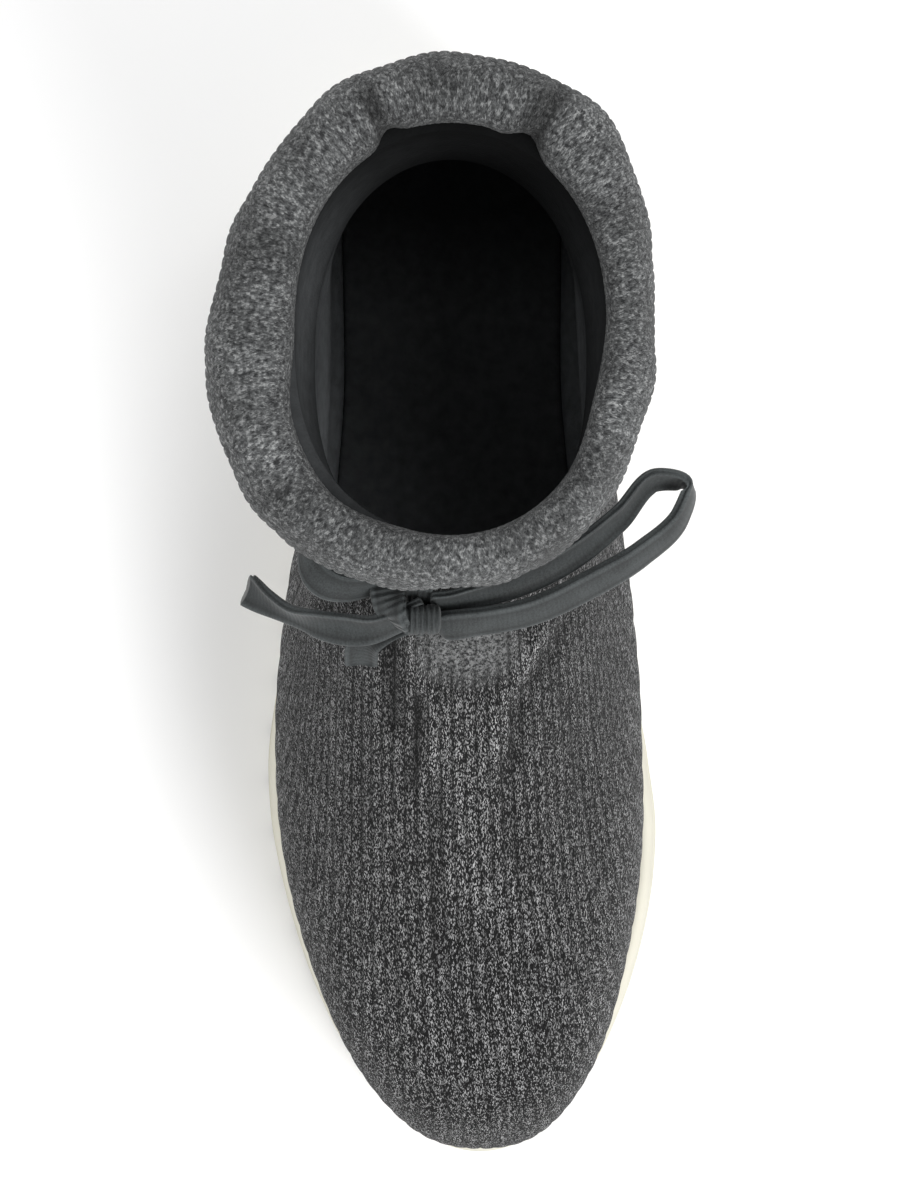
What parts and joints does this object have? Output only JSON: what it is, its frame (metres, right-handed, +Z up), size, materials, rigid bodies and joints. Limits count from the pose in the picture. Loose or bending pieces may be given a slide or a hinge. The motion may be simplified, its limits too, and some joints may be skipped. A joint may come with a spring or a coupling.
{
  "type": "knit high-top sneaker",
  "caption": "Right knit high-top sneaker with a sock upper, a turned rib cuff, a tape tied in a half bow at the ankle and a pale flared sole.",
  "frame": {"origin": "on the floor, under the middle of the shoe's outline without the bow", "axes": "+X from heel to toe, +Y towards the inner side of the right foot, +Z up"},
  "size_m": [0.27, 0.1136, 0.175],
  "materials": {
    "outsole_rubber": "satin cream rubber",
    "midsole_foam": "matte off-white foam",
    "lining": "matte near-black lining",
    "upper_knit": "matte flecked black and grey rib knit",
    "cuff_knit": "soft flecked grey rib knit",
    "tape": "matte green-grey woven tape"
  },
  "bodies": {
    "root": {"outsole": "outsole_rubber", "midsole": "midsole_foam", "insole": "lining", "upper": "upper_knit", "cuff": "cuff_knit", "tie_band": "tape", "tie_knot": "tape", "tie_loop": "tape", "tie_tail_long": "tape", "tie_tail_short": "tape"}
  },
  "joints": []
}
